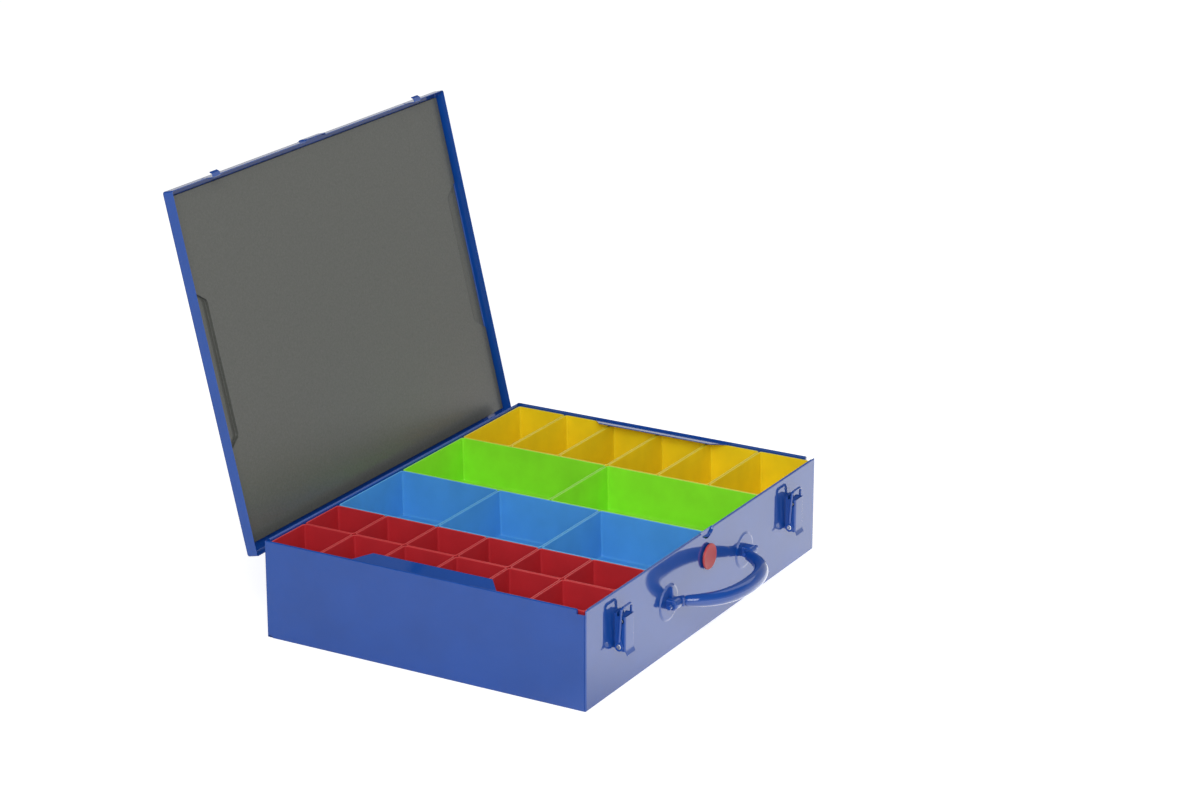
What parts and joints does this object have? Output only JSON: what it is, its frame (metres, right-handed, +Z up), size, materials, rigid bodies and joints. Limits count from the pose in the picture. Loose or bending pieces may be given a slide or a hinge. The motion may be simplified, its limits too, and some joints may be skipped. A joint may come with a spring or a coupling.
{
  "type": "compartment storage box",
  "caption": "Flat steel storage case with loose plastic boxes in a grid, a hinged lid with a foam liner, two draw latches and a bow handle.",
  "frame": {"origin": "middle of the tray's underside, on the surface that it stands on", "axes": "+Z up, -Y towards the front wall with the handle and latches, +X to the right seen from the front"},
  "size_m": [0.4424, 0.4763, 0.4093],
  "materials": {
    "case_blue": "gloss lacquer",
    "box_red": "satin moulded plastic",
    "box_blue": "satin moulded plastic",
    "box_green": "satin moulded plastic",
    "box_yellow": "satin moulded plastic",
    "liner_grey": "fine grained foam",
    "button_red": "satin moulded plastic",
    "steel": "plated"
  },
  "bodies": {
    "tray": {"tray": "case_blue", "false_floor": "case_blue", "hinge_leaf": "case_blue", "hinge_pin": "steel", "latch_base_left": "case_blue", "latch_base_right": "case_blue", "lever_pin_left": "steel", "lever_pin_right": "steel", "latch_rivets": "steel", "handle_bracket_left": "case_blue", "handle_bracket_right": "case_blue", "button_washer": "steel", "red_box_2": "box_red", "red_box_3": "box_red", "red_box_4": "box_red", "red_box_5": "box_red", "yellow_box_2": "box_yellow", "yellow_box_3": "box_yellow", "yellow_box_4": "box_yellow", "yellow_box_5": "box_yellow"},
    "lid": {"lid_shell": "case_blue", "lid_liner": "liner_grey"},
    "handle": {"handle_core": "case_blue", "handle_grip": "case_blue"},
    "button": {"push_button": "button_red", "button_clip": "steel"},
    "lever_left": {"latch_lever_left": "case_blue", "loop_pin_left": "steel"},
    "loop_left": {"latch_loop_left": "case_blue"},
    "lever_right": {"latch_lever_right": "case_blue", "loop_pin_right": "steel"},
    "loop_right": {"latch_loop_right": "case_blue"},
    "red_box_1": {"red_box_1": "box_red"},
    "red_box_6": {"red_box_6": "box_red"},
    "red_box_7": {"red_box_7": "box_red"},
    "red_box_8": {"red_box_8": "box_red"},
    "red_box_9": {"red_box_9": "box_red"},
    "red_box_10": {"red_box_10": "box_red"},
    "red_box_11": {"red_box_11": "box_red"},
    "red_box_12": {"red_box_12": "box_red"},
    "blue_box_1": {"blue_box_1": "box_blue"},
    "blue_box_2": {"blue_box_2": "box_blue"},
    "blue_box_3": {"blue_box_3": "box_blue"},
    "green_box_1": {"green_box_1": "box_green"},
    "green_box_2": {"green_box_2": "box_green"},
    "yellow_box_1": {"yellow_box_1": "box_yellow"},
    "yellow_box_6": {"yellow_box_6": "box_yellow"}
  },
  "joints": [
    {"name": "lid_hinge", "type": "hinge", "parent": "tray", "child": "lid", "pos_m": [0, 0.1675, 0.08], "axis": [-1, 0, 0], "range_deg": [-103.4, 0]},
    {"name": "handle_swing", "type": "hinge", "parent": "tray", "child": "handle", "pos_m": [0, -0.1715, 0.049], "axis": [-1, 0, 0], "range_deg": [-85, 0]},
    {"name": "button_press", "type": "slide", "parent": "tray", "child": "button", "axis": [0, 1, 0], "range_m": [0, 0.0012], "stiffness_N_per_m": 400},
    {"name": "lever_left_swing", "type": "hinge", "parent": "tray", "child": "lever_left", "pos_m": [-0.164, -0.1727, 0.0681], "axis": [-1, 0, 0], "range_deg": [0, 90]},
    {"name": "loop_left_swing", "type": "hinge", "parent": "lever_left", "child": "loop_left", "pos_m": [-0.164, -0.1707, 0.0446], "axis": [-1, 0, 0], "range_deg": [-90, 0]},
    {"name": "lever_right_swing", "type": "hinge", "parent": "tray", "child": "lever_right", "pos_m": [0.164, -0.1727, 0.0681], "axis": [-1, 0, 0], "range_deg": [0, 90]},
    {"name": "loop_right_swing", "type": "hinge", "parent": "lever_right", "child": "loop_right", "pos_m": [0.164, -0.1707, 0.0446], "axis": [-1, 0, 0], "range_deg": [-90, 0]},
    {"name": "red_box_1_lift", "type": "slide", "parent": "tray", "child": "red_box_1", "axis": [0, 0, 1], "range_m": [0, 0.1]},
    {"name": "red_box_6_lift", "type": "slide", "parent": "tray", "child": "red_box_6", "axis": [0, 0, 1], "range_m": [0, 0.1]},
    {"name": "red_box_7_lift", "type": "slide", "parent": "tray", "child": "red_box_7", "axis": [0, 0, 1], "range_m": [0, 0.1]},
    {"name": "red_box_8_lift", "type": "slide", "parent": "tray", "child": "red_box_8", "axis": [0, 0, 1], "range_m": [0, 0.1]},
    {"name": "red_box_9_lift", "type": "slide", "parent": "tray", "child": "red_box_9", "axis": [0, 0, 1], "range_m": [0, 0.1]},
    {"name": "red_box_10_lift", "type": "slide", "parent": "tray", "child": "red_box_10", "axis": [0, 0, 1], "range_m": [0, 0.1]},
    {"name": "red_box_11_lift", "type": "slide", "parent": "tray", "child": "red_box_11", "axis": [0, 0, 1], "range_m": [0, 0.1]},
    {"name": "red_box_12_lift", "type": "slide", "parent": "tray", "child": "red_box_12", "axis": [0, 0, 1], "range_m": [0, 0.1]},
    {"name": "blue_box_1_lift", "type": "slide", "parent": "tray", "child": "blue_box_1", "axis": [0, 0, 1], "range_m": [0, 0.1]},
    {"name": "blue_box_2_lift", "type": "slide", "parent": "tray", "child": "blue_box_2", "axis": [0, 0, 1], "range_m": [0, 0.1]},
    {"name": "blue_box_3_lift", "type": "slide", "parent": "tray", "child": "blue_box_3", "axis": [0, 0, 1], "range_m": [0, 0.1]},
    {"name": "green_box_1_lift", "type": "slide", "parent": "tray", "child": "green_box_1", "axis": [0, 0, 1], "range_m": [0, 0.1]},
    {"name": "green_box_2_lift", "type": "slide", "parent": "tray", "child": "green_box_2", "axis": [0, 0, 1], "range_m": [0, 0.1]},
    {"name": "yellow_box_1_lift", "type": "slide", "parent": "tray", "child": "yellow_box_1", "axis": [0, 0, 1], "range_m": [0, 0.1]},
    {"name": "yellow_box_6_lift", "type": "slide", "parent": "tray", "child": "yellow_box_6", "axis": [0, 0, 1], "range_m": [0, 0.1]}
  ],
  "couplings": [
    {"joint": "loop_left_swing", "follows": "lever_left_swing", "ratio": -1},
    {"joint": "loop_right_swing", "follows": "lever_right_swing", "ratio": -1}
  ]
}
